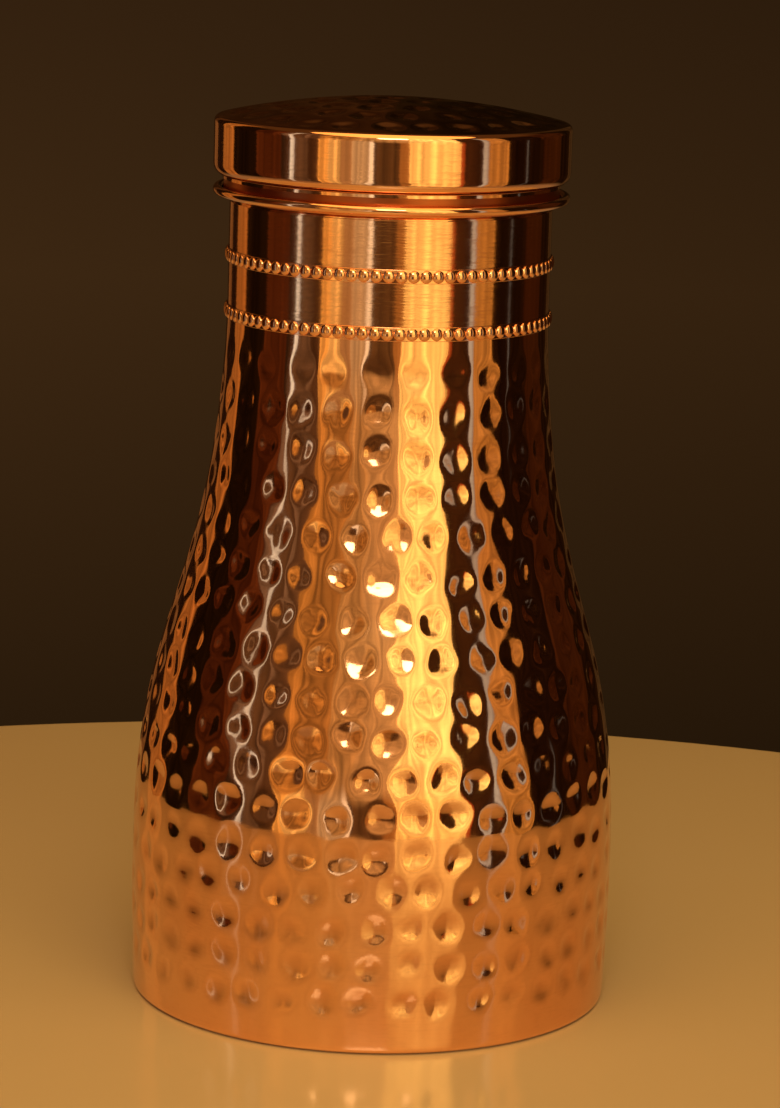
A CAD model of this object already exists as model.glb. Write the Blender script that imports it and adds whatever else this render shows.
"""A hand-hammered copper water bottle with a lift-off domed lid, on a round pale table."""

import math

import bmesh
import bpy
from mathutils import Matrix, Vector


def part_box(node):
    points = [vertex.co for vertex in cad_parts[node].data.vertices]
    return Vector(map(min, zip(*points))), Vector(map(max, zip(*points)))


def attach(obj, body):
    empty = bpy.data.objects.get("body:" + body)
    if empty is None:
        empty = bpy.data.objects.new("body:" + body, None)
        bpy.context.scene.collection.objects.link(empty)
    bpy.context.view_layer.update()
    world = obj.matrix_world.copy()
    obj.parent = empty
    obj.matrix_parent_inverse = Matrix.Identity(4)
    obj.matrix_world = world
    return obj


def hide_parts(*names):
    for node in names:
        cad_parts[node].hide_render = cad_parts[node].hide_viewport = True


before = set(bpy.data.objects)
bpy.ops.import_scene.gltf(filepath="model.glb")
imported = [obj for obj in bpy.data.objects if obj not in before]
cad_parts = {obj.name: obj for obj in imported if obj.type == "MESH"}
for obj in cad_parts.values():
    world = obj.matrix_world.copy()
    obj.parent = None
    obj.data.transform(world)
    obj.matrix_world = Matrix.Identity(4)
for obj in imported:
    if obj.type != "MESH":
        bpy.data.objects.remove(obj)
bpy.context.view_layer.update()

MM = 0.001

# ---- Sizes, in millimetres ----

# sheet metal
BODY_SHEET = 0.8
BASE_SHEET = 0.8
NECK_SHEET = 0.6
MOUTH_SHEET = 0.6
LID_SHEET = 0.7
PAN_SHEET = 0.7
PLUG_SHEET = 0.6
SOLDER_GAP = 0.1
REST_GAP = 0.3

# body
FOOT_TUCK = 0.7
FOOT_CORNER = 1.2
FOOT_FLANGE = 5.6
BELLY_HEIGHT = 34.0
BELLY_PULL = 0.47
NECK_PULL = 0.54
SHOULDER_LEAN = 2.3
COLLAR_LENGTH = 6.0

# base plate
BASE_RIM = 9.0
BASE_RAMP = 8.0

# mouth ring
SLEEVE_LENGTH = 7.0
CURL_RADIUS = 1.1
CURL_REACH = 2.9
CURL_END = math.radians(198)

# beaded rings
BEADS_ROUND = 84
BEAD_SHARE = 0.86  # a bead's height as a share of the ring's
BEAD_OVERLAP = 1.04  # a bead's width as a share of the room it has
STRIP_PROUD = 0.25
STRIP_CORNER = 0.15

# lid
LID_SIDE = 12.3
LID_TOP_CORNER = 1.5
LID_BOTTOM_CORNER = 2.6  # a little rounder than in the CAD part
PLUG_FLANGE = 3.0
FOLD = 0.8  # bend of the pan and of the plug

# turning: steps round the axis
FINE_TURN = 456
LID_TURN = 380
RING_TURN = 252
SMALL_TURN = 192


class Reach:
    """How far a CAD node reaches: its radius, bottom and top, in millimetres."""

    def __init__(self, node):
        low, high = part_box(node)
        self.radius = high.x / MM
        self.bottom = low.z / MM
        self.top = high.z / MM


BODY = Reach("body_shell")
BASE = Reach("base_plate")
NECK = Reach("neck_tube")
MOUTH = Reach("mouth_ring")
LOWER_RING = Reach("lower_beaded_ring")
UPPER_RING = Reach("upper_beaded_ring")
LID = Reach("lid_shell")
PAN = Reach("lid_pan")
PLUG = Reach("plug_skirt")

seam_height = BODY.top - COLLAR_LENGTH
foot_radius = BODY.radius - FOOT_TUCK
stand_radius = foot_radius - FOOT_CORNER
sleeve_radius = NECK.radius - NECK_SHEET - SOLDER_GAP
step_radius = NECK.radius + CURL_REACH - CURL_RADIUS - REST_GAP  # pan's step in the groove


# ---- Outlines: points of (radius, height) ----

def arc(centre, radius, start, end, steps):
    """Points on an arc between two angles."""
    points = []
    for i in range(steps + 1):
        angle = start + (end - start) * i / steps
        x = centre[0] + radius * math.cos(angle)
        points.append((x, centre[1] + radius * math.sin(angle)))
    return points


def curve(start, start_handle, end_handle, end, steps):
    """Points on a curve that leaves and arrives along its handles."""
    places = (start, start_handle, end_handle, end)
    points = []
    for i in range(steps + 1):
        t = i / steps
        s = 1 - t
        weights = (s**3, 3 * s * s * t, 3 * s * t * t, t**3)
        points.append(tuple(sum(w * p[axis] for w, p in zip(weights, places)) for axis in (0, 1)))
    return points


def straight(start, end, steps):
    """Points on a straight line."""
    return [tuple(a + (b - a) * i / steps for a, b in zip(start, end)) for i in range(steps + 1)]


def joined(*stretches):
    """One line from several stretches, without the points that repeat."""
    points = []
    for stretch in stretches:
        for place in stretch:
            if not points or math.dist(place, points[-1]) > 1e-6:
                points.append(place)
    return points


def direction(a, b):
    length = math.dist(a, b)
    return ((b[0] - a[0]) / length, (b[1] - a[1]) / length)


def set_back(face, thickness):
    """A face line set back to its left by the sheet's thickness, with mitred corners."""
    back = []
    for i, place in enumerate(face):
        arriving = direction(face[i - 1], place) if i > 0 else None
        leaving = direction(place, face[i + 1]) if i < len(face) - 1 else None
        on_axis = abs(place[0]) < 1e-6
        if arriving is None:
            arriving = (leaving[0], -leaving[1]) if on_axis else leaving
        if leaving is None:
            leaving = (arriving[0], -arriving[1]) if on_axis else arriving
        turn = 1 + arriving[0] * leaving[0] + arriving[1] * leaving[1]
        x = place[0] - (arriving[1] + leaving[1]) * thickness / turn
        back.append((x, place[1] + (arriving[0] + leaving[0]) * thickness / turn))
    return back


def sheet(face, thickness, inside=None):
    """The section of a sheet: its face, and its back set back from the face or from a coarser copy."""
    back = set_back(inside or face, thickness)
    back.reverse()
    if abs(face[0][0]) < 1e-6:
        return face + back
    if abs(face[-1][0]) < 1e-6:
        return back + face
    return face + back


def body_face(belly_steps, shoulder_steps, corner_steps):
    """The outside of the body: flange, corner, belly, shoulder and the collar inside the neck."""
    rise = seam_height - BELLY_HEIGHT
    belly_rise = BELLY_HEIGHT - FOOT_CORNER
    return joined(
        straight((stand_radius - FOOT_FLANGE, 0), (stand_radius, 0), 2),
        arc((stand_radius, FOOT_CORNER), FOOT_CORNER, -math.pi / 2, 0, corner_steps),
        curve(
            (foot_radius, FOOT_CORNER),
            (foot_radius + FOOT_TUCK * 0.7, FOOT_CORNER + belly_rise / 3),
            (BODY.radius, BELLY_HEIGHT - belly_rise / 3),
            (BODY.radius, BELLY_HEIGHT),
            belly_steps,
        ),
        curve(
            (BODY.radius, BELLY_HEIGHT),
            (BODY.radius, BELLY_HEIGHT + BELLY_PULL * rise),
            (NECK.radius + SHOULDER_LEAN, seam_height - NECK_PULL * rise),
            (NECK.radius, seam_height),
            shoulder_steps,
        ),
        straight((sleeve_radius, seam_height), (sleeve_radius, BODY.top), 2),
    )


def base_face():
    """The underside of the base plate, pushed up in the middle."""
    dish_height = BASE.top - BASE_SHEET
    ramp_outer = BASE.radius - BASE_RIM
    ramp_inner = ramp_outer - BASE_RAMP
    ramp_middle = (ramp_outer + ramp_inner) / 2
    return joined(
        straight((0, dish_height), (ramp_inner, dish_height), 14),
        curve(
            (ramp_inner, dish_height),
            (ramp_middle, dish_height),
            (ramp_middle, BASE.bottom),
            (ramp_outer, BASE.bottom),
            10,
        ),
        straight((ramp_outer, BASE.bottom), (BASE.radius, BASE.bottom), 4),
    )


def mouth_face():
    """The outside of the mouth ring: sleeve, flare and curled edge."""
    centre = (NECK.radius + CURL_REACH, MOUTH.top - CURL_RADIUS)
    start = (sleeve_radius, MOUTH.bottom + SLEEVE_LENGTH)
    across = (centre[0] - start[0], centre[1] - start[1])
    slope = math.atan2(across[1], across[0]) - math.asin(CURL_RADIUS / math.hypot(*across))
    return joined(
        straight((sleeve_radius, MOUTH.bottom), start, 3),
        arc(centre, CURL_RADIUS, slope - math.pi / 2, CURL_END, 18),
    )


def lid_face(side_steps, dome_steps, corner_steps):
    """The outside of the lid: turned-in edge, straight side, top corner and dome."""
    side_top = LID.bottom + LID_SIDE
    top_centre = (LID.radius - LID_TOP_CORNER, side_top)
    rise = LID.top - side_top - LID_TOP_CORNER
    drop = (top_centre[0] ** 2 - rise**2) / (2 * rise)
    edge = math.atan2(drop, top_centre[0])
    dome = arc((0, side_top - drop), LID.top - side_top + drop, edge, math.pi / 2, dome_steps)
    dome[-1] = (0.0, LID.top)
    bottom_centre = (LID.radius - LID_BOTTOM_CORNER, LID.bottom + LID_BOTTOM_CORNER)
    return joined(
        [(step_radius + REST_GAP, LID.bottom)],
        arc(bottom_centre, LID_BOTTOM_CORNER, -math.pi / 2, 0, corner_steps),
        straight((LID.radius, bottom_centre[1]), (LID.radius, side_top), side_steps),
        arc(top_centre, LID_TOP_CORNER, 0, edge, corner_steps),
        dome,
    )


# ---- Node trees ----

GEOMETRY = "NodeSocketGeometry"
FLOAT = "NodeSocketFloat"
WHOLE = "NodeSocketInt"
COLOUR = "NodeSocketColor"
VECTOR = "NodeSocketVector"
METAL = "NodeSocketMaterial"
SPINDLE = 50.0  # radius of the circle that a section is swept round, in millimetres


def add_node(tree, kind, feeds=None, **settings):
    """A node with its settings. Feeds are keyed by a socket's name or number: values or sockets."""
    made = tree.nodes.new(kind)
    for name, value in settings.items():
        setattr(made, name, value)
    for key, value in (feeds or {}).items():
        if isinstance(key, str):
            target = next(s for s in made.inputs if s.name == key and s.enabled)
        else:
            target = made.inputs[key]
        if isinstance(value, bpy.types.NodeSocket):
            tree.links.new(value, target)
        else:
            target.default_value = value
    return made


class Nodes:
    """Puts nodes into a tree, and hands back their outputs."""

    def __init__(self, tree):
        self.tree = tree

    def put(self, kind, feeds=None, output=None, **settings):
        """Adds a node and hands back one of its outputs, the first that is in use by default."""
        made = add_node(self.tree, kind, feeds, **settings)
        return next(s for s in made.outputs if s.enabled and output in (None, s.name))

    def group(self, tree, feeds):
        """Uses a group inside this tree and hands back its outputs."""
        kind = "GeometryNodeGroup" if tree.bl_idname == "GeometryNodeTree" else "ShaderNodeGroup"
        return add_node(self.tree, kind, feeds, node_tree=tree).outputs

    def sum(self, operation, *values):
        """One step of arithmetic on numbers."""
        return self.put("ShaderNodeMath", dict(enumerate(values)), operation=operation)

    def vector_sum(self, operation, *values):
        """One step of arithmetic on vectors."""
        return self.put("ShaderNodeVectorMath", dict(enumerate(values)), operation=operation)

    def scaled(self, vector, factor):
        return self.put("ShaderNodeVectorMath", {0: vector, "Scale": factor}, operation="SCALE")

    def vector(self, x=0.0, y=0.0, z=0.0):
        return self.put("ShaderNodeCombineXYZ", {0: x, 1: y, 2: z})

    def axes(self, vector):
        """A vector's three numbers."""
        return add_node(self.tree, "ShaderNodeSeparateXYZ", {0: vector}).outputs

    def noise(self, place, scale, detail=2.0, **feeds):
        feeds.update({"Vector": place, "Scale": scale, "Detail": detail})
        return self.put("ShaderNodeTexNoise", feeds)

    def spread(self, value, low, high, to_low=0.0, to_high=1.0):
        """Takes a number from one range to another, and keeps it inside."""
        names = ("Value", "From Min", "From Max", "To Min", "To Max")
        return self.put("ShaderNodeMapRange", dict(zip(names, (value, low, high, to_low, to_high))))

    def blend(self, factor, low, high):
        """A mix of two colours."""
        feeds = {"Factor": factor, "A": low, "B": high}
        return self.put("ShaderNodeMix", feeds, data_type="RGBA")


class Tree(Nodes):
    """A node group made in code, with named inputs and outputs."""

    def __init__(self, name, kind, inputs, outputs):
        super().__init__(bpy.data.node_groups.new(name, kind))
        for label, socket, value in inputs:
            made = self.tree.interface.new_socket(label, in_out="INPUT", socket_type=socket)
            if value is not None:
                made.default_value = value
        for label, socket in outputs:
            self.tree.interface.new_socket(label, in_out="OUTPUT", socket_type=socket)
        self.given = self.tree.nodes.new("NodeGroupInput").outputs
        self.result = self.tree.nodes.new("NodeGroupOutput").inputs

    def give(self, name, socket):
        self.tree.links.new(socket, self.result[name])

    def position(self):
        return self.put("GeometryNodeInputPosition")

    def stored(self, name):
        """A number that the mesh carries."""
        return self.put("GeometryNodeInputNamedAttribute", {"Name": name}, data_type="FLOAT")

    def store(self, geometry, name, value):
        feeds = {"Geometry": geometry, "Name": name, "Value": value}
        return self.put(
            "GeometryNodeStoreNamedAttribute", feeds, data_type="FLOAT", domain="POINT"
        )

    def chance(self, low, high, seed, kind="FLOAT"):
        """A random number or vector for each point."""
        feeds = {"Min": low, "Max": high, "Seed": seed}
        return self.put("FunctionNodeRandomValue", feeds, data_type=kind)

    def finish(self, geometry, metal):
        """Ends a piece's tree: real geometry instead of instances, in its metal."""
        real = self.put("GeometryNodeRealizeInstances", {"Geometry": geometry})
        self.give("Geometry", self.put("GeometryNodeSetMaterial", {0: real, "Material": metal}))
        return self.tree


TURNED_INPUTS = [("Section", GEOMETRY, None), ("Steps Round", WHOLE, SMALL_TURN)]
GEOMETRY_OUT = [("Geometry", GEOMETRY)]


def turning_tree():
    """Turns a section line once round the axis. The line is drawn beside the spindle circle."""
    made = Tree("turn_on_the_lathe", "GeometryNodeTree", TURNED_INPUTS, [("Turned", GEOMETRY)])
    section = made.put("GeometryNodeMeshToCurve", {0: made.given["Section"]})
    circle = made.put(
        "GeometryNodeCurvePrimitiveCircle",
        {"Resolution": made.given["Steps Round"], "Radius": SPINDLE * MM},
    )
    swept = made.put("GeometryNodeCurveToMesh", {"Curve": circle, "Profile Curve": section})
    swept = made.put("GeometryNodeFlipFaces", {0: swept})
    merged = made.put("GeometryNodeMergeByDistance", {"Geometry": swept, "Distance": 1e-6})
    made.give("Turned", made.put("GeometryNodeSetShadeSmooth", {"Geometry": merged}))
    return made.tree


def passed_on(made, *names):
    """Inputs of a tree that go straight to a group inside it."""
    return {name: made.given[name] for name in names}


def turned(made, turning):
    """The section turned, inside a piece's own tree."""
    return made.group(turning, passed_on(made, "Section", "Steps Round"))[0]


def plain_tree(turning):
    """A turned sheet with nothing more done to it."""
    made = Tree(
        "turned_sheet", "GeometryNodeTree", TURNED_INPUTS + [("Metal", METAL, None)], GEOMETRY_OUT
    )
    return made.finish(turned(made, turning), made.given["Metal"])


BLOW_INPUTS = [
    ("Row Spacing", FLOAT, 0.0094),
    ("Dent Spacing", FLOAT, 0.0092),
    ("Wander", FLOAT, 0.0007),
    ("Spread Along", FLOAT, 0.0),
    ("Row Slip", FLOAT, 0.1),
    ("Seed", WHOLE, 1),
]
ROW_STEPS = 96  # sides of the ring that a row's blows are set out on
RAGGED_SCALE = 200.0  # waves in a metre
UNEVEN_SCALE = 55.0
SINK_BLUR = 5
SINK_FALL = -0.9  # how fast the metal between dents rises again
RIM_FALL = -60.0  # how narrow the mark on a dent's rim is
RIM_MARK = 0.4  # how much of the tarnish in a dent its rim carries


def dent_centres_tree():
    """Where the hammer falls: rows along the hammered stretch of the section, each with as many
    blows round it as fit. Every blow wanders a little from its place."""
    made = Tree(
        "hammer_blows",
        "GeometryNodeTree",
        [("Section", GEOMETRY, None), ("Turned", GEOMETRY, None)] + BLOW_INPUTS,
        [("Blows", GEOMETRY)],
    )
    given = made.given
    beaten = made.sum("GREATER_THAN", made.stored("rows"), 0.5)
    stretch = made.put(
        "GeometryNodeSeparateGeometry",
        {"Geometry": given["Section"], "Selection": beaten},
        domain="POINT",
    )
    line = made.put("GeometryNodeMeshToCurve", {0: stretch})
    length = made.put("GeometryNodeCurveLength", {0: line})
    gaps = made.sum("ROUND", made.sum("DIVIDE", length, given["Row Spacing"]))
    rows = made.put("GeometryNodePoints", {"Count": made.sum("ADD", gaps, 1.0)})
    share = made.sum("DIVIDE", made.put("GeometryNodeInputIndex"), gaps)
    bend = made.sum("MULTIPLY", share, made.sum("SUBTRACT", share, 1.0))
    share = made.sum("ADD", share, made.sum("MULTIPLY", bend, given["Spread Along"]))
    on_line = made.put(
        "GeometryNodeSampleCurve", {"Curves": line, "Factor": share}, output="Position", mode="FACTOR"
    )
    rows = made.put("GeometryNodeSetPosition", {"Geometry": rows, "Position": on_line})
    place = made.axes(made.position())
    radius = made.sum("ADD", place[0], SPINDLE * MM)
    rows = made.store(rows, "row_radius", radius)
    on_axis = made.vector(z=made.sum("MULTIPLY", place[1], -1.0))
    rows = made.put("GeometryNodeSetPosition", {"Geometry": rows, "Position": on_axis})

    ring = made.put("GeometryNodeCurvePrimitiveCircle", {"Resolution": ROW_STEPS, "Radius": 1.0})
    row_radius = made.stored("row_radius")
    slip = made.vector(z=given["Row Slip"])
    turn = made.chance((0.0, 0.0, 0.0), slip, given["Seed"], "FLOAT_VECTOR")
    rings = made.put(
        "GeometryNodeInstanceOnPoints",
        {
            "Points": rows,
            "Instance": ring,
            "Rotation": made.put("FunctionNodeEulerToRotation", {0: turn}),
            "Scale": made.vector(row_radius, row_radius, 1.0),
        },
    )
    rings = made.put("GeometryNodeRealizeInstances", {"Geometry": rings})
    around = made.put("GeometryNodeSplineLength", output="Length")
    count = made.sum("ROUND", made.sum("DIVIDE", around, given["Dent Spacing"]))
    rings = made.put(
        "GeometryNodeResampleCurve",
        {"Curve": rings, "Count": made.sum("MAXIMUM", count, 1.0)},
        mode="COUNT",
    )
    blows = made.put("GeometryNodeCurveToPoints", {"Curve": rings}, mode="EVALUATED")
    next_seed = made.sum("ADD", given["Seed"], 1.0)
    drift = made.chance((-1.0, -1.0, -1.0), (1.0, 1.0, 1.0), next_seed, "FLOAT_VECTOR")
    drift = made.scaled(drift, given["Wander"])
    blows = made.put("GeometryNodeSetPosition", {"Geometry": blows, "Offset": drift})
    on_sheet = made.put(
        "GeometryNodeProximity",
        {"Geometry": given["Turned"]},
        output="Position",
        target_element="FACES",
    )
    made.give("Blows", made.put("GeometryNodeSetPosition", {"Geometry": blows, "Position": on_sheet}))
    return made.tree


def hammered_tree(turning, blows):
    """Turns a section and presses a dent into it at every blow. Each dent has its own width and
    depth and a slightly ragged outline, and the metal between the dents sinks a little with them."""
    made = Tree(
        "hammered_sheet",
        "GeometryNodeTree",
        TURNED_INPUTS
        + BLOW_INPUTS
        + [
            ("Dent Width", FLOAT, 0.0078),
            ("Dent Depth", FLOAT, 0.00045),
            ("Width Spread", FLOAT, 0.1),
            ("Depth Spread", FLOAT, 0.25),
            ("Roundness", FLOAT, 1.9),
            ("Raggedness", FLOAT, 0.003),
            ("Sink Between", FLOAT, 0.00008),
            ("Unevenness", FLOAT, 0.00004),
            ("Metal", METAL, None),
        ],
        GEOMETRY_OUT,
    )
    given = made.given
    shell = turned(made, turning)
    hammered = made.stored("hammered")
    feeds = passed_on(made, "Section", *(label for label, _, _ in BLOW_INPUTS))
    centres = made.group(blows, {"Turned": shell, **feeds})[0]

    def varied(size, amount, seed_step):
        low = made.sum("SUBTRACT", 1.0, amount)
        high = made.sum("ADD", 1.0, amount)
        seed = made.sum("ADD", given["Seed"], seed_step)
        return made.sum("MULTIPLY", size, made.chance(low, high, seed))

    half_width = made.sum("MULTIPLY", given["Dent Width"], 0.5)
    half_width = varied(half_width, given["Width Spread"], 2.0)
    depth = varied(given["Dent Depth"], given["Depth Spread"], 3.0)

    nearest = made.put("GeometryNodeSampleNearest", {"Geometry": centres})

    def of_nearest(value, kind="FLOAT"):
        feeds = {"Geometry": centres, "Value": value, "Index": nearest}
        return made.put("GeometryNodeSampleIndex", feeds, data_type=kind)

    here = made.position()
    centre = of_nearest(here, "FLOAT_VECTOR")
    feeds = {"Vector": here, "Scale": RAGGED_SCALE}
    ragged = made.put("ShaderNodeTexNoise", feeds, output="Color")
    ragged = made.vector_sum("SUBTRACT", ragged, (0.5, 0.5, 0.5))
    struck = made.vector_sum("ADD", here, made.scaled(ragged, given["Raggedness"]))
    away = made.vector_sum("DISTANCE", struck, centre)
    share = made.sum("DIVIDE", away, of_nearest(half_width))
    squared = made.sum("MULTIPLY", share, share)
    cup = made.sum("MAXIMUM", made.sum("SUBTRACT", 1.0, squared), 0.0)
    cup = made.sum("POWER", cup, given["Roundness"])
    pressed = made.sum("MULTIPLY", cup, of_nearest(depth))
    sink = made.sum("EXPONENT", made.sum("MULTIPLY", squared, SINK_FALL))
    feeds = {"Value": sink, "Iterations": SINK_BLUR}
    sink = made.put("GeometryNodeBlurAttribute", feeds, data_type="FLOAT")
    sink = made.sum("MULTIPLY", sink, given["Sink Between"])
    uneven = made.noise(here, UNEVEN_SCALE, 1.0)
    uneven = made.sum("MULTIPLY", made.sum("SUBTRACT", uneven, 0.5), given["Unevenness"])
    pressed = made.sum("ADD", made.sum("ADD", pressed, sink), uneven)
    pressed = made.sum("MULTIPLY", pressed, hammered)

    rim = made.sum("SUBTRACT", share, 1.0)
    rim = made.sum("EXPONENT", made.sum("MULTIPLY", made.sum("MULTIPLY", rim, rim), RIM_FALL))
    rim = made.sum("MULTIPLY", rim, RIM_MARK)
    marked = made.store(shell, "dent", made.sum("MULTIPLY", cup, hammered))
    marked = made.store(marked, "rim", made.sum("MULTIPLY", rim, hammered))
    inward = made.scaled(made.put("GeometryNodeInputNormal"), made.sum("MULTIPLY", pressed, -1.0))
    beaten = made.put("GeometryNodeSetPosition", {"Geometry": marked, "Offset": inward})
    return made.finish(beaten, given["Metal"])


def beaded_tree(turning):
    """Turns a flat strip and sets a row of beads round it, side by side."""
    made = Tree(
        "beaded_ring",
        "GeometryNodeTree",
        TURNED_INPUTS
        + [
            ("Beads", WHOLE, BEADS_ROUND),
            ("Row Radius", FLOAT, 0.038),
            ("Row Height", FLOAT, 0.16),
            ("Bead Depth", FLOAT, 0.0008),
            ("Bead Width", FLOAT, 0.0028),
            ("Bead Height", FLOAT, 0.0025),
            ("Size Spread", FLOAT, 0.04),
            ("Seed", WHOLE, 1),
            ("Metal", METAL, None),
        ],
        GEOMETRY_OUT,
    )
    given = made.given
    strip = turned(made, turning)
    circle = made.put(
        "GeometryNodeCurvePrimitiveCircle",
        {"Resolution": given["Beads"], "Radius": given["Row Radius"]},
    )
    places = made.put("GeometryNodeCurveToPoints", {"Curve": circle}, mode="EVALUATED")
    outward = made.put(
        "FunctionNodeAlignRotationToVector",
        {"Vector": made.position()},
        axis="X",
        pivot_axis="Z",
    )
    bead = made.put("GeometryNodeMeshUVSphere", {"Segments": 12, "Rings": 8, "Radius": 1.0})
    size = made.vector(
        given["Bead Depth"],
        made.sum("MULTIPLY", given["Bead Width"], 0.5),
        made.sum("MULTIPLY", given["Bead Height"], 0.5),
    )
    smallest = made.sum("SUBTRACT", 1.0, given["Size Spread"])
    size = made.scaled(size, made.chance(smallest, 1.0, given["Seed"]))
    beads = made.put(
        "GeometryNodeInstanceOnPoints",
        {"Points": places, "Instance": bead, "Rotation": outward, "Scale": size},
    )
    lift = made.vector(z=given["Row Height"])
    beads = made.put("GeometryNodeTransform", {"Geometry": beads, "Translation": lift})
    beads = made.put("GeometryNodeRealizeInstances", {"Geometry": beads})
    beads = made.put("GeometryNodeSetShadeSmooth", {"Geometry": beads})
    beads = made.store(beads, "worn", 0.3)
    both = made.tree.nodes.new("GeometryNodeJoinGeometry")
    made.tree.links.new(strip, both.inputs[0])
    made.tree.links.new(beads, both.inputs[0])
    return made.finish(both.outputs[0], given["Metal"])


TURNING = turning_tree()
TURNED_SHEET = plain_tree(TURNING)
HAMMERED_SHEET = hammered_tree(TURNING, dent_centres_tree())
BEADED_RING = beaded_tree(TURNING)


# ---- Pieces ----

SHARP_ANGLE = math.radians(38)
WORN_TURN = math.radians(60)


def edge_wear(section, i, closed):
    """How exposed a point of the section is to rubbing: 1 on a tight outward bend, 0 on the flat."""
    if not closed and i in (0, len(section) - 1):
        return 0.0
    before = section[i - 1]
    here = section[i]
    after = section[(i + 1) % len(section)]
    a = direction(before, here)
    b = direction(here, after)
    turn = math.atan2(a[0] * b[1] - a[1] * b[0], a[0] * b[0] + a[1] * b[1])
    spacing = (math.dist(before, here) + math.dist(here, after)) / 2
    return min(1.0, max(0.0, turn / max(spacing, 0.2) / WORN_TURN))


def section_mesh(name, section, hammered, rows):
    """The section as a line mesh beside the spindle. It is marked with how deep it is hammered,
    where the rows of blows run, and where it is worn."""
    closed = section[0][0] > 1e-6
    count = len(section)
    edges = [(i, i + 1) for i in range(count - 1)]
    if closed:
        edges.append((count - 1, 0))
    mesh = bpy.data.meshes.new(name)
    mesh.from_pydata([((r - SPINDLE) * MM, -z * MM, 0) for r, z in section], edges, [])
    marks = {
        "hammered": [hammered(r, z) for r, z in section],
        "rows": [rows(r, z) for r, z in section],
        "worn": [edge_wear(section, i, closed) for i in range(count)],
    }
    for label, values in marks.items():
        mesh.attributes.new(label, "FLOAT", "POINT").data.foreach_set("value", values)
    return mesh


def never(radius, height):
    return 0.0


def make_piece(name, section, tree, material, hammered=never, rows=never, **sizes):
    """A finished piece: the section goes through its Geometry Nodes tree and becomes a plain mesh."""
    blank = bpy.data.objects.new(name, section_mesh(name, section, hammered, rows))
    bpy.context.scene.collection.objects.link(blank)
    modifier = blank.modifiers.new("make", "NODES")
    modifier.node_group = tree
    wanted = {"Metal": material}
    for label, value in sizes.items():
        wanted[label.replace("_", " ").title()] = value
    for item in tree.interface.items_tree:
        if item.in_out == "INPUT" and item.name in wanted:
            modifier[item.identifier] = wanted.pop(item.name)
    if wanted:
        raise ValueError(f"{tree.name} has no input named {sorted(wanted)}")
    shaped = blank.evaluated_get(bpy.context.evaluated_depsgraph_get())
    mesh = bpy.data.meshes.new_from_object(shaped)
    mesh.name = name
    blank.modifiers.clear()
    blank.data = mesh
    shell = bmesh.new()
    shell.from_mesh(mesh)
    bmesh.ops.recalc_face_normals(shell, faces=shell.faces)
    shell.to_mesh(mesh)
    shell.free()
    mesh.set_sharp_from_angle(angle=SHARP_ANGLE)
    mesh.materials.clear()
    mesh.materials.append(material)
    for face in mesh.polygons:
        face.material_index = 0
    return blank


def belongs(piece, body, slot, *nodes):
    """The piece moves with its body and stands for its CAD nodes."""
    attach(piece, body)
    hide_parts(*nodes)
    return piece


# ---- Metal surfaces: groups shared by the materials ----

BRIGHT_COPPER = (0.955, 0.585, 0.37, 1.0)
DEEP_COPPER = (0.925, 0.50, 0.29, 1.0)
DARK_TARNISH = (0.42, 0.17, 0.08, 1.0)


def tone_group():
    """Copper's colour: soft clouds of brighter and deeper metal, with tarnish that gathers in
    hollows and is rubbed off the worn edges."""
    made = Tree(
        "copper_tone",
        "ShaderNodeTree",
        [
            ("Place", VECTOR, None),
            ("Bright", COLOUR, BRIGHT_COPPER),
            ("Deep", COLOUR, DEEP_COPPER),
            ("Tarnish", COLOUR, DARK_TARNISH),
            ("Cloud Scale", FLOAT, 30.0),
            ("Tarnish Amount", FLOAT, 0.15),
            ("Hollow", FLOAT, 0.0),
            ("Worn", FLOAT, 0.0),
            ("Smoothest", FLOAT, 0.06),
            ("Roughest", FLOAT, 0.22),
        ],
        [("Color", COLOUR), ("Roughness", FLOAT)],
    )
    given = made.given
    cloud = made.noise(given["Place"], given["Cloud Scale"], 3.0)
    cloud = made.spread(cloud, 0.35, 0.68)
    metal = made.blend(cloud, given["Bright"], given["Deep"])
    spot_scale = made.sum("MULTIPLY", given["Cloud Scale"], 6.0)
    spots = made.noise(given["Place"], spot_scale, 5.0, Roughness=0.65)
    spots = made.spread(spots, 0.5, 0.8)
    dirt = made.sum("ADD", spots, made.sum("MULTIPLY", cloud, 0.35))
    dirt = made.sum("MULTIPLY", dirt, given["Tarnish Amount"])
    dirt = made.sum("ADD", dirt, given["Hollow"])
    rubbed = made.sum("SUBTRACT", 1.0, made.sum("MINIMUM", given["Worn"], 1.0))
    dirt = made.put("ShaderNodeMath", {0: dirt, 1: rubbed}, operation="MULTIPLY", use_clamp=True)
    made.give("Color", made.blend(dirt, metal, given["Tarnish"]))
    made.give("Roughness", made.spread(dirt, 0.0, 1.0, given["Smoothest"], given["Roughest"]))
    return made.tree


def scratch_group():
    """Fine hairlines from wiping and handling, in two slanting directions."""
    made = Tree(
        "wiping_scratches",
        "ShaderNodeTree",
        [("Place", VECTOR, None), ("Cover", FLOAT, 0.5)],
        [("Height", FLOAT)],
    )
    given = made.given
    lines = []
    for turn, stretch in ((0.5, (900.0, 900.0, 26.0)), (-0.9, (30.0, 700.0, 700.0))):
        place = made.put(
            "ShaderNodeMapping",
            {"Vector": given["Place"], "Rotation": (turn, turn * 0.6, turn), "Scale": stretch},
        )
        lines.append(made.spread(made.noise(place, 1.0, 1.0), 0.66, 0.78))
    where = made.spread(made.noise(given["Place"], 24.0), 0.4, 0.6)
    both = made.sum("MAXIMUM", *lines)
    covered = made.sum("MULTIPLY", made.sum("MULTIPLY", both, where), given["Cover"])
    made.give("Height", made.sum("MULTIPLY", covered, -1.0))
    return made.tree


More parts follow.
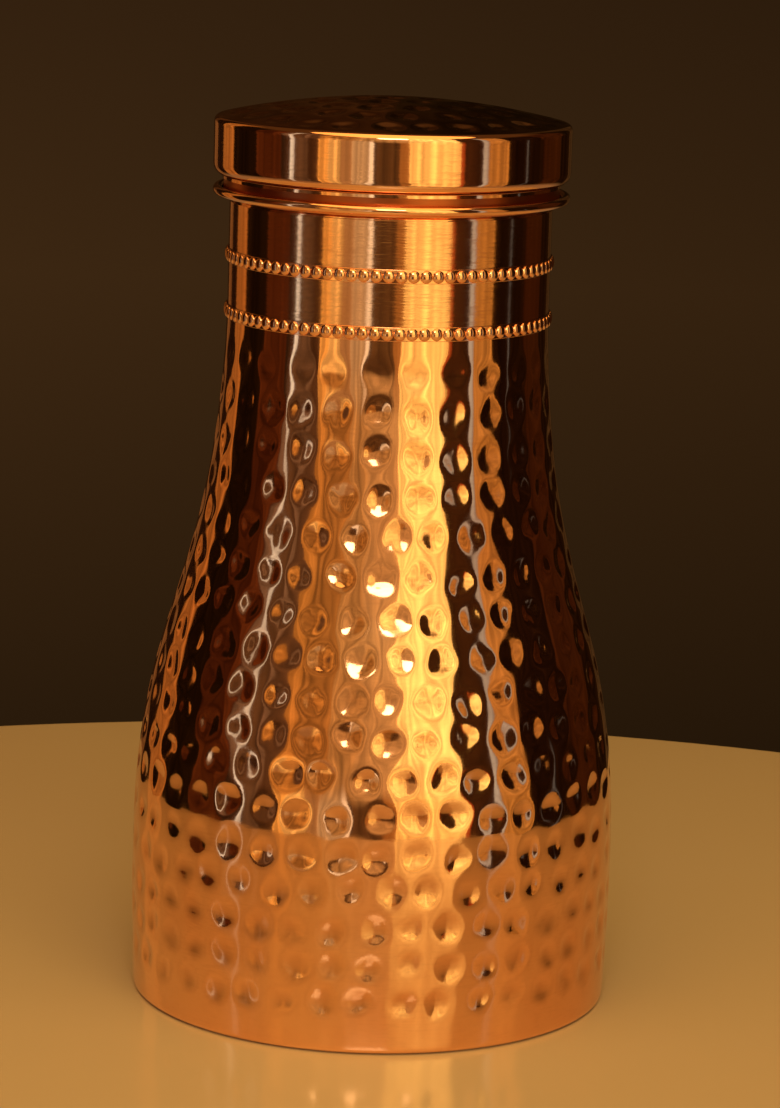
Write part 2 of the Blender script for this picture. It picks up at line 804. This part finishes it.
def spun_group():
    """Rings left by the lathe and the buffing wheel. Along runs up the wall, or out over a disc."""
    made = Tree(
        "spun_rings",
        "ShaderNodeTree",
        [
            ("Place", VECTOR, None),
            ("Along", FLOAT, 0.0),
            ("Ring Spacing", FLOAT, 0.0006),
            ("Unevenness", FLOAT, 0.5),
        ],
        [("Height", FLOAT), ("Lines", FLOAT)],
    )
    given = made.given
    along = made.sum("DIVIDE", given["Along"], given["Ring Spacing"])
    across = made.vector_sum("MULTIPLY", given["Place"], (260.0, 260.0, 0.0))
    broken = made.vector_sum("ADD", across, made.vector(z=along))
    rings = made.noise(broken, 1.0)
    weakest = made.sum("SUBTRACT", 1.0, given["Unevenness"])
    strength = made.spread(made.noise(given["Place"], 40.0), 0.35, 0.65, weakest, 1.0)
    made.give("Height", made.sum("MULTIPLY", rings, strength))
    lines = made.spread(rings, 0.5, 0.68)
    patches = made.spread(strength, 0.5, 1.0)
    made.give("Lines", made.sum("MULTIPLY", lines, patches))
    return made.tree


TONE = tone_group()
SCRATCHES = scratch_group()
SPUN = spun_group()


# ---- Materials ----

RUBBED_CLEAN = 0.8  # share of the tarnish that is gone from the most worn edge
SCRATCH_COVER = 0.6


class Surface(Nodes):
    """A material in the making: its tree, where each point is, and its shader."""

    def __init__(self, name, metallic=1.0):
        self.material = bpy.data.materials.new(name + "_finish")
        self.material.use_nodes = True
        super().__init__(self.material.node_tree)
        self.tree.nodes.clear()
        self.shader = add_node(self.tree, "ShaderNodeBsdfPrincipled", {"Metallic": metallic})
        self.output = add_node(self.tree, "ShaderNodeOutputMaterial", {0: self.shader.outputs[0]})
        self.place = self.put("ShaderNodeTexCoord", output="Object")

    def carried(self, name, share):
        """A share of a number that the mesh carries."""
        value = self.put("ShaderNodeAttribute", output="Fac", attribute_name=name)
        return self.sum("MULTIPLY", value, share)

    def feed(self, name, socket):
        self.tree.links.new(socket, self.shader.inputs[name])

    def relief(self, layers):
        """Bump in layers of (height, depth in metres), one on top of the other."""
        normal = None
        for height, depth in layers:
            feeds = {"Height": height, "Distance": depth, "Strength": 1.0}
            if normal is not None:
                feeds["Normal"] = normal
            normal = self.put("ShaderNodeBump", feeds)
        self.feed("Normal", normal)

    def up_the_wall(self):
        return self.axes(self.place)[2]

    def out_from_axis(self):
        flat = self.vector_sum("MULTIPLY", self.place, (1.0, 1.0, 0.0))
        return self.vector_sum("LENGTH", flat)


def copper(
    name,
    ring_spacing,
    ring_depth,
    scratch_depth=1.5e-6,
    smoothest=0.06,
    roughest=0.22,
    tarnish=0.12,
    cloud=28.0,
    hollow=0.0,
    line_tarnish=0.1,
    bright=BRIGHT_COPPER,
    deep=DEEP_COPPER,
    flat=False,
):
    """Copper with its clouds of tone, lathe rings and hairlines. Lengths are in metres. On a flat
    disc the rings run outwards, and otherwise they run up the wall."""
    surface = Surface(name)
    along = surface.out_from_axis() if flat else surface.up_the_wall()
    rings = surface.group(
        SPUN, {"Place": surface.place, "Along": along, "Ring Spacing": ring_spacing}
    )
    in_dents = surface.sum("ADD", surface.carried("dent", hollow), surface.carried("rim", hollow))
    in_lines = surface.sum("MULTIPLY", rings["Lines"], line_tarnish)
    tone = surface.group(
        TONE,
        {
            "Place": surface.place,
            "Bright": bright,
            "Deep": deep,
            "Tarnish": DARK_TARNISH,
            "Cloud Scale": cloud,
            "Tarnish Amount": tarnish,
            "Hollow": surface.sum("ADD", in_dents, in_lines),
            "Worn": surface.carried("worn", RUBBED_CLEAN),
            "Smoothest": smoothest,
            "Roughest": roughest,
        },
    )
    surface.feed("Base Color", tone["Color"])
    surface.feed("Roughness", tone["Roughness"])
    hairlines = surface.group(SCRATCHES, {"Place": surface.place, "Cover": SCRATCH_COVER})
    surface.relief([(rings["Height"], ring_depth), (hairlines["Height"], scratch_depth)])
    return surface.material


def hammered_copper():
    """The body: buffed bright after hammering, a little darker in the dents."""
    return copper("hammered_copper", ring_spacing=0.0005, ring_depth=2.0e-6, hollow=0.3)


def polished_copper():
    """Neck and mouth ring: polished on the lathe, with fine rings left in it."""
    return copper(
        "polished_copper",
        ring_spacing=0.00045,
        ring_depth=3.0e-5,
        smoothest=0.08,
        roughest=0.3,
        tarnish=0.14,
        cloud=36.0,
        line_tarnish=0.25,
    )


def beaded_copper():
    """The beaded rings: bright beads with darker metal where the cloth can't reach."""
    return copper(
        "beaded_copper",
        ring_spacing=0.0004,
        ring_depth=1.0e-6,
        scratch_depth=1.0e-6,
        smoothest=0.08,
        roughest=0.3,
        tarnish=0.35,
        cloud=90.0,
    )


def lid_copper():
    """The lid: a polished side with fine rings, and a buffed dome."""
    return copper(
        "lid_copper",
        ring_spacing=0.0005,
        ring_depth=1.6e-5,
        cloud=34.0,
        hollow=0.06,
        line_tarnish=0.25,
    )


def inner_copper():
    """Pan and plug: turned and wiped but never polished, so darker and redder."""
    return copper(
        "inner_copper",
        ring_spacing=0.0007,
        ring_depth=1.2e-5,
        scratch_depth=2.5e-6,
        smoothest=0.28,
        roughest=0.5,
        tarnish=0.45,
        cloud=44.0,
        bright=(0.52, 0.15, 0.055, 1.0),
        deep=(0.32, 0.07, 0.022, 1.0),
        flat=True,
    )


def base_copper():
    """The base plate: spun, duller and browner."""
    return copper(
        "base_copper",
        ring_spacing=0.0009,
        ring_depth=1.6e-5,
        scratch_depth=3.0e-6,
        smoothest=0.22,
        roughest=0.5,
        tarnish=0.5,
        cloud=40.0,
        bright=(0.86, 0.5, 0.34, 1.0),
        deep=(0.72, 0.37, 0.23, 1.0),
        flat=True,
    )


# ---- The bottle ----

def ramp(value, low, high):
    """0 below low, 1 above high, smooth between."""
    t = min(1.0, max(0.0, (value - low) / (high - low)))
    return t * t * (3 - 2 * t)


FIRST_ROW = 11.5  # height of the lowest row of dents
LAST_ROW = 8.0  # the highest row is this far below the neck
FOOT_FADE = (5.5, 7.5)  # heights between which the hammering starts
NECK_FADE = (1, 16)  # distances below the neck between which it stops


def make_body():
    """The body: not hammered at the foot, and less and less towards the neck."""
    face = body_face(36, 146, 5)
    outside = set(face)

    def depth(radius, height):
        if (radius, height) not in outside:
            return 0.0
        return ramp(height, *FOOT_FADE) * ramp(seam_height - height, *NECK_FADE)

    def rows(radius, height):
        between = FIRST_ROW < height < seam_height - LAST_ROW
        return float(between and (radius, height) in outside)

    piece = make_piece(
        "hammered_body",
        sheet(face, BODY_SHEET, body_face(3, 10, 4)),
        HAMMERED_SHEET,
        hammered_copper(),
        depth,
        rows,
        steps_round=FINE_TURN,
        row_spacing=0.0092,
        spread_along=0.06,
        row_slip=0.08,
        dent_spacing=0.0091,
        dent_width=0.0077,
        dent_depth=0.00046,
        width_spread=0.12,
        wander=0.0009,
        seed=7,
    )
    return belongs(piece, "bottle", "hammered_copper", "body_shell")


def make_base():
    piece = make_piece("spun_base_plate", sheet(base_face(), BASE_SHEET), TURNED_SHEET, base_copper())
    return belongs(piece, "bottle", "base_copper", "base_plate")


def make_neck(metal):
    face = straight((NECK.radius, NECK.bottom), (NECK.radius, NECK.top), 12)
    piece = make_piece("neck", sheet(face, NECK_SHEET), TURNED_SHEET, metal)
    return belongs(piece, "bottle", "polished_copper", "neck_tube")


def make_mouth(metal):
    piece = make_piece("curled_mouth_ring", sheet(mouth_face(), MOUTH_SHEET), TURNED_SHEET, metal)
    return belongs(piece, "bottle", "polished_copper", "mouth_ring")


def make_beads(name, ring, node, seed, metal):
    """A thin flat strip, nearly hidden by the row of beads on it."""
    inside = NECK.radius + SOLDER_GAP
    strip = NECK.radius + STRIP_PROUD
    corner = strip - STRIP_CORNER
    low = ring.bottom + STRIP_CORNER
    high = ring.top - STRIP_CORNER
    section = joined(
        [(inside, low), (corner, low)],
        arc((corner, low + STRIP_CORNER), STRIP_CORNER, -math.pi / 2, 0, 4),
        arc((corner, high - STRIP_CORNER), STRIP_CORNER, 0, math.pi / 2, 4),
        [(inside, high)],
    )
    piece = make_piece(
        name,
        section,
        BEADED_RING,
        metal,
        steps_round=RING_TURN,
        row_radius=strip * MM,
        row_height=(ring.top + ring.bottom) / 2 * MM,
        bead_depth=(ring.radius - strip) * MM,
        bead_width=2 * math.pi * strip / BEADS_ROUND * BEAD_OVERLAP * MM,
        bead_height=(ring.top - ring.bottom) * BEAD_SHARE * MM,
        seed=seed,
    )
    return belongs(piece, "bottle", "beaded_copper", node)


# ---- The lid ----

DOME_FADE = (2, 4)  # distances in from the lid's edge between which the hammering starts
WHOLE_TURN = 6.28  # each ring of blows starts anywhere
DOME_MARGIN = 6.0  # the outermost ring of blows is this far in


def make_lid():
    face = lid_face(16, 56, 6)
    outside = {place for place in face if place[1] > LID.bottom + LID_SIDE}

    def depth(radius, height):
        if (radius, height) not in outside:
            return 0.0
        return ramp(LID.radius - radius, *DOME_FADE)

    def rows(radius, height):
        return float((radius, height) in outside and radius < LID.radius - DOME_MARGIN)

    piece = make_piece(
        "domed_lid",
        sheet(face, LID_SHEET, lid_face(4, 16, 3)),
        HAMMERED_SHEET,
        lid_copper(),
        depth,
        rows,
        steps_round=LID_TURN,
        row_spacing=0.0088,
        row_slip=WHOLE_TURN,
        dent_spacing=0.0092,
        dent_width=0.0080,
        dent_depth=0.00040,
        wander=0.0009,
        seed=21,
    )
    return belongs(piece, "lid", "lid_copper", "lid_shell")


def make_pan(metal):
    """The dish under the lid: floor, step in the groove, and rim."""
    rim_height = PAN.top - PAN_SHEET
    centre = (step_radius - FOLD, PAN.bottom + FOLD)
    face = joined(
        straight((0, PAN.bottom), (centre[0], PAN.bottom), 24),
        arc(centre, FOLD, -math.pi / 2, 0, 5),
        straight((step_radius, centre[1]), (step_radius, rim_height), 4),
        straight((step_radius, rim_height), (PAN.radius, rim_height), 2),
    )
    piece = make_piece("lid_pan_dish", sheet(face, PAN_SHEET), TURNED_SHEET, metal)
    return belongs(piece, "lid", "inner_copper", "lid_pan")


def make_plug(metal):
    """The short tube that guides the lid into the mouth."""
    centre = (PLUG.radius - FOLD, PLUG.top - FOLD)
    face = joined(
        straight((PLUG.radius, PLUG.bottom), (PLUG.radius, centre[1]), 6),
        arc(centre, FOLD, 0, math.pi / 2, 5),
        straight((centre[0], PLUG.top), (PLUG.radius - PLUG_FLANGE, PLUG.top), 2),
    )
    piece = make_piece("guide_plug", sheet(face, PLUG_SHEET), TURNED_SHEET, metal)
    return belongs(piece, "lid", "inner_copper", "plug_skirt")


polished = polished_copper()
beaded = beaded_copper()
inner = inner_copper()
make_body()
make_base()
make_neck(polished)
make_mouth(polished)
make_beads("lower_beads", LOWER_RING, "lower_beaded_ring", 3, beaded)
make_beads("upper_beads", UPPER_RING, "upper_beaded_ring", 4, beaded)
make_lid()
make_pan(inner)
make_plug(inner)


# ---- Table ----

TABLE_RADIUS = 360.0
TABLE_EDGE = 8.0
TABLE_DROP = 0.2  # just under the bottle's foot, so that the two don't share a plane
TABLE_FORWARD = 84.0  # how far the table's middle is in front of the bottle
TABLE_STEPS = 180
TABLE_HOLE = 55.0  # hidden by the bottle, so that its underside gets light
CREAM = (0.74, 0.65, 0.46, 1.0)
DARKER_CREAM = (0.68, 0.59, 0.41, 1.0)
TABLE_ROUGHNESS = 0.16


def table_paint():
    """Pale cream paint, slightly glossy. Seen from below it lets the view through."""
    surface = Surface("pale_table", metallic=0.0)
    clouds = surface.noise(surface.place, 3.0)
    surface.feed("Base Color", surface.blend(clouds, CREAM, DARKER_CREAM))
    surface.shader.inputs["Roughness"].default_value = TABLE_ROUGHNESS
    clear = surface.put("ShaderNodeBsdfTransparent")
    behind = surface.put("ShaderNodeNewGeometry", output="Backfacing")
    seen = surface.put("ShaderNodeLightPath", output="Is Camera Ray")
    hidden = surface.sum("MULTIPLY", behind, seen)
    feeds = {0: hidden, 1: surface.shader.outputs[0], 2: clear}
    mixed = surface.put("ShaderNodeMixShader", feeds)
    surface.tree.links.new(mixed, surface.output.inputs[0])
    return surface.material


def make_table():
    """The table top with its rounded edge. There is nothing under it."""
    rings = [(0.0, TABLE_HOLE, 0.0)]
    centre = (TABLE_RADIUS - TABLE_EDGE, -TABLE_EDGE)
    for radius, height in arc(centre, TABLE_EDGE, math.pi / 2, 0, 8):
        rings.append((-TABLE_FORWARD, radius, height))
    places = []
    for middle, radius, height in rings:
        for i in range(TABLE_STEPS):
            angle = 2 * math.pi * i / TABLE_STEPS
            x = radius * math.cos(angle)
            y = middle + radius * math.sin(angle)
            places.append((x * MM, y * MM, (height - TABLE_DROP) * MM))
    faces = []
    for row in range(len(rings) - 1):
        for i in range(TABLE_STEPS):
            inner = row * TABLE_STEPS
            outer = inner + TABLE_STEPS
            after = (i + 1) % TABLE_STEPS
            faces.append((inner + i, outer + i, outer + after, inner + after))
    mesh = bpy.data.meshes.new("table")
    mesh.from_pydata(places, [], faces)
    mesh.shade_smooth()
    mesh.materials.append(table_paint())
    top = bpy.data.objects.new("table", mesh)
    bpy.context.scene.collection.objects.link(top)


# ---- Room and lights ----

# What the polished copper sees round it: (from, red, green, blue). The first is in degrees from the
# camera's side of the room, to the right. Warm lamplight on furniture, with dark gaps between.
UPPER_WALLS = [
    (-180, 0.026, 0.009, 0.002),
    (-165, 0.07, 0.024, 0.006),
    (-155, 0.014, 0.005, 0.001),
    (-140, 0.43, 0.16, 0.03),
    (-123, 0.012, 0.005, 0.001),
    (-98, 0.058, 0.014, 0.003),
    (-85, 0.05, 0.011, 0.002),
    (-82, 0.12, 0.03, 0.007),
    (-75, 0.2, 0.115, 0.065),
    (-70, 0.85, 0.85, 0.76),
    (-67, 0.12, 0.058, 0.024),
    (-59, 0.26, 0.15, 0.08),
    (-55, 0.13, 0.062, 0.026),
    (-49, 0.69, 0.305, 0.06),
    (-39, 0.4, 0.18, 0.04),
    (-24, 0.64, 0.35, 0.11),
    (-10, 0.7, 0.4, 0.14),
    (10, 2.0, 1.43, 0.46),
    (42, 0.052, 0.019, 0.005),
    (59, 0.52, 0.52, 0.48),
    (62, 0.6, 0.285, 0.065),
    (77, 0.016, 0.006, 0.002),
    (108, 0.046, 0.013, 0.003),
    (138, 0.012, 0.005, 0.001),
    (156, 0.04, 0.018, 0.005),
    (170, 0.012, 0.005, 0.001),
]
LOWER_WALLS = [
    (-180, 0.026, 0.01, 0.003),
    (-165, 0.24, 0.09, 0.022),
    (-154, 0.016, 0.006, 0.002),
    (-141, 0.43, 0.16, 0.03),
    (-124, 0.012, 0.005, 0.001),
    (-97, 0.082, 0.02, 0.004),
    (-76, 0.06, 0.026, 0.01),
    (-70, 1.0, 1.05, 1.0),
    (-67, 0.13, 0.07, 0.034),
    (-57, 0.08, 0.034, 0.012),
    (-50, 1.1, 0.56, 0.12),
    (-42, 0.32, 0.14, 0.035),
    (-41, 1.0, 0.62, 0.19),
    (-33, 0.46, 0.24, 0.085),
    (-26, 0.66, 0.44, 0.21),
    (-17, 1.0, 0.85, 0.6),
    (-15, 0.11, 0.05, 0.016),
    (4, 0.42, 0.17, 0.036),
    (11, 1.58, 1.02, 0.29),
    (43, 0.5, 0.085, 0.015),
    (46, 0.056, 0.019, 0.005),
    (59, 0.56, 0.56, 0.52),
    (62, 0.52, 0.24, 0.048),
    (78, 0.014, 0.005, 0.001),
    (93, 0.11, 0.12, 0.13),
    (95, 0.014, 0.005, 0.001),
    (112, 0.044, 0.012, 0.002),
    (136, 0.014, 0.005, 0.001),
    (156, 0.06, 0.028, 0.008),
    (170, 0.014, 0.006, 0.002),
]
DIM_CEILING = (0.090, 0.038, 0.010, 1.0)
WARM_GROUND = (0.300, 0.160, 0.060, 1.0)
BACKDROP_TOP = (0.024, 0.011, 0.004, 1.0)
BACKDROP_MIDDLE = (0.042, 0.019, 0.006, 1.0)
BACKDROP_LOW = (0.019, 0.009, 0.003, 1.0)
BACKDROP_LIGHT = (1.1, 0.75)  # from left to right
WALLS_MEET = (-0.06, 0.02)  # heights, as the sine of the angle above the horizon
CEILING_STARTS = (0.55, 0.7)
GROUND_STARTS = (-0.3, -0.45)
SWAY = 0.03  # how far the bands lean, in turns of the room
STRIPE_LIGHT = (0.55, 1.3)
MOTTLE_LIGHT = (0.6, 1.3)


def set_stops(node, stops):
    """Fills a colour ramp."""
    elements = node.color_ramp.elements
    while len(elements) > 1:
        elements.remove(elements[-1])
    for i, (place, colour) in enumerate(stops):
        stop = elements[0] if i == 0 else elements.new(place)
        stop.position = place
        stop.color = colour


def make_room():
    """A dim warm room in bands of light and dark, and behind the table a plain dark backdrop."""
    world = bpy.data.worlds.new("warm_room")
    bpy.context.scene.world = world
    world.use_nodes = True
    room = Nodes(world.node_tree)
    room.tree.nodes.clear()

    def bands(round_room, walls):
        made = add_node(room.tree, "ShaderNodeValToRGB", {0: round_room})
        made.color_ramp.interpolation = "CONSTANT"
        set_stops(made, [((start + 180) / 360, (*colour, 1.0)) for start, *colour in walls])
        return made.outputs[0]

    look = room.put("ShaderNodeTexCoord")
    to_right, to_back, height = room.axes(look)
    round_room = room.sum("ARCTAN2", to_right, room.sum("MULTIPLY", to_back, -1.0))
    round_room = room.sum("ADD", room.sum("DIVIDE", round_room, 2 * math.pi), 0.5)
    sway = room.sum("MULTIPLY", room.sum("SUBTRACT", room.noise(look, 2.2), 0.5), SWAY)
    round_room = room.sum("ADD", round_room, sway)
    lower = bands(round_room, LOWER_WALLS)
    upper = bands(round_room, UPPER_WALLS)
    walls = room.blend(room.spread(height, *WALLS_MEET), lower, upper)
    stripes = room.put(
        "ShaderNodeTexNoise",
        {"W": round_room, "Scale": 90.0, "Detail": 3.0, "Roughness": 0.7},
        noise_dimensions="1D",
    )
    stripes = room.spread(stripes, 0.3, 0.7, *STRIPE_LIGHT)
    mottle = room.spread(room.noise(look, 8.0, 3.0), 0.3, 0.7, *MOTTLE_LIGHT)
    lit = room.scaled(walls, room.sum("MULTIPLY", stripes, mottle))
    lit = room.blend(room.spread(height, *CEILING_STARTS), lit, DIM_CEILING)
    lit = room.blend(room.spread(height, *GROUND_STARTS), lit, WARM_GROUND)

    backdrop = add_node(room.tree, "ShaderNodeValToRGB", {0: room.spread(height, -0.25, 0.0)})
    set_stops(backdrop, [(0.0, BACKDROP_LOW), (0.5, BACKDROP_MIDDLE), (1.0, BACKDROP_TOP)])
    darker_right = room.spread(to_right, -0.15, 0.15, *BACKDROP_LIGHT)
    backdrop = room.scaled(backdrop.outputs[0], darker_right)
    seen = room.put("ShaderNodeLightPath", output="Is Camera Ray")
    shine = room.put("ShaderNodeBackground", {"Color": room.blend(seen, lit, backdrop)})
    add_node(room.tree, "ShaderNodeOutputWorld", {0: shine})


def lamp(name, place, aim, power, colour, size, height=None):
    """A soft panel light facing a point: a rectangle if it has a height, and else a disc."""
    data = bpy.data.lights.new(name, "AREA")
    data.energy = power
    data.color = colour
    data.size = size
    data.shape = "RECTANGLE" if height else "DISK"
    if height:
        data.size_y = height
    made = bpy.data.objects.new(name, data)
    made.location = place
    made.rotation_euler = (Vector(aim) - Vector(place)).to_track_quat("-Z", "Y").to_euler()
    made.visible_camera = False
    bpy.context.scene.collection.objects.link(made)


def make_lights():
    lamp("overhead", (0, -0.5, 1.45), (0, -0.15, 0), 18, (1.0, 0.50, 0.13), 1.9)
    lamp("key", (0, -1.6, 1.05), (0, 0, 0.1), 5, (1.0, 0.82, 0.52), 0.56, 0.5)
    lamp("below", (0.35, -0.55, -1.0), (0, 0, 0), 4, (1.0, 0.80, 0.55), 0.5, 0.5)


make_table()
make_room()
make_lights()


# ---- Camera ----

CAMERA_PLACE = (0.0, -0.93235, 0.28821)
LOOK_DOWN = math.radians(11.076)
LOOK_RIGHT = math.radians(0.139)
ROLL = math.radians(1.787)
LENS = 129.97
SENSOR = 36.0


def make_camera():
    data = bpy.data.cameras.new("camera")
    data.lens = LENS
    data.sensor_width = SENSOR
    data.clip_start = 0.01
    data.clip_end = 50.0
    camera = bpy.data.objects.new("camera", data)
    bpy.context.scene.collection.objects.link(camera)
    turn = (
        Matrix.Rotation(-LOOK_RIGHT, 4, "Z")
        @ Matrix.Rotation(math.pi / 2 - LOOK_DOWN, 4, "X")
        @ Matrix.Rotation(ROLL, 4, "Z")
    )
    camera.matrix_world = Matrix.Translation(CAMERA_PLACE) @ turn
    bpy.context.scene.camera = camera


make_camera()
bpy.context.scene.view_settings.view_transform = "Standard"
